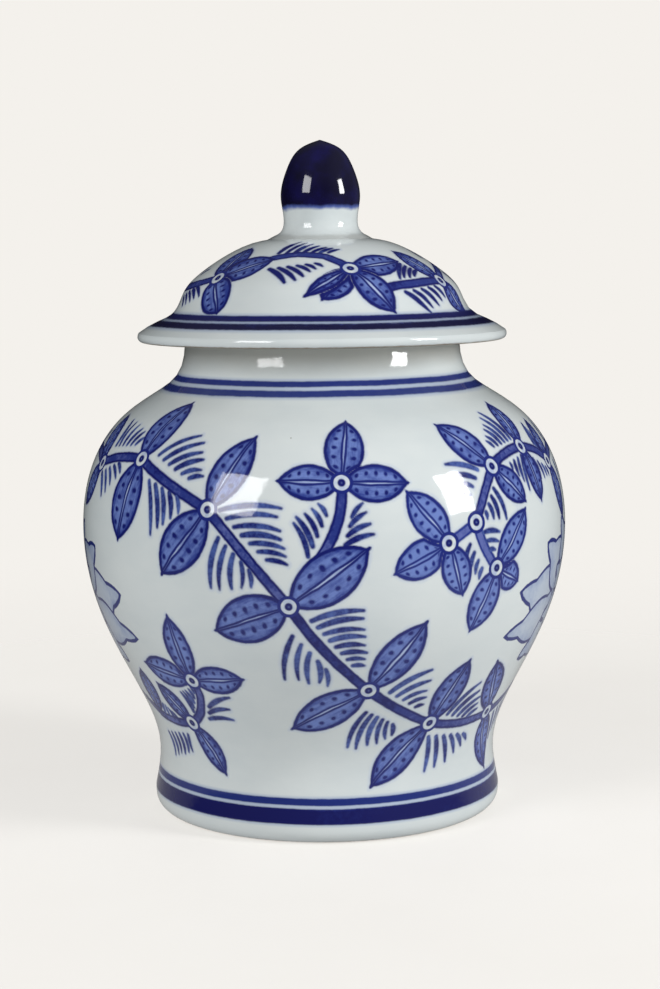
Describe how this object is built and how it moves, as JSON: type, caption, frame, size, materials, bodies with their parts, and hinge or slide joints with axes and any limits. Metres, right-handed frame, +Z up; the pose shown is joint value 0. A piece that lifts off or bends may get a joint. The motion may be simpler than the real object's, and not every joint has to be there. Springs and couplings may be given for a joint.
{
  "type": "ginger jar",
  "caption": "Lidded porcelain jar with a swelling belly, narrow waist and spread foot, closed by a lift-off domed lid with a wide brim and a bud knob.",
  "frame": {"origin": "on the ground under the centre of the jar's foot", "axes": "+Z up along the axis that the jar and its lid are turned about; -Y is the side shown in the picture"},
  "size_m": [0.145, 0.145, 0.2],
  "materials": {
    "white_glaze": "glossy pale grey-white porcelain glaze over cobalt underglaze painting",
    "cobalt_glaze": "glossy deep cobalt blue on the bud, white on its stem"
  },
  "bodies": {
    "jar": {"jar_body": "white_glaze"},
    "lid": {"lid": "white_glaze", "lid_knob": "cobalt_glaze"}
  },
  "joints": [
    {"name": "lid_lift", "type": "slide", "parent": "jar", "child": "lid", "axis": [0, 0, 1], "range_m": [0, 0.06]}
  ]
}
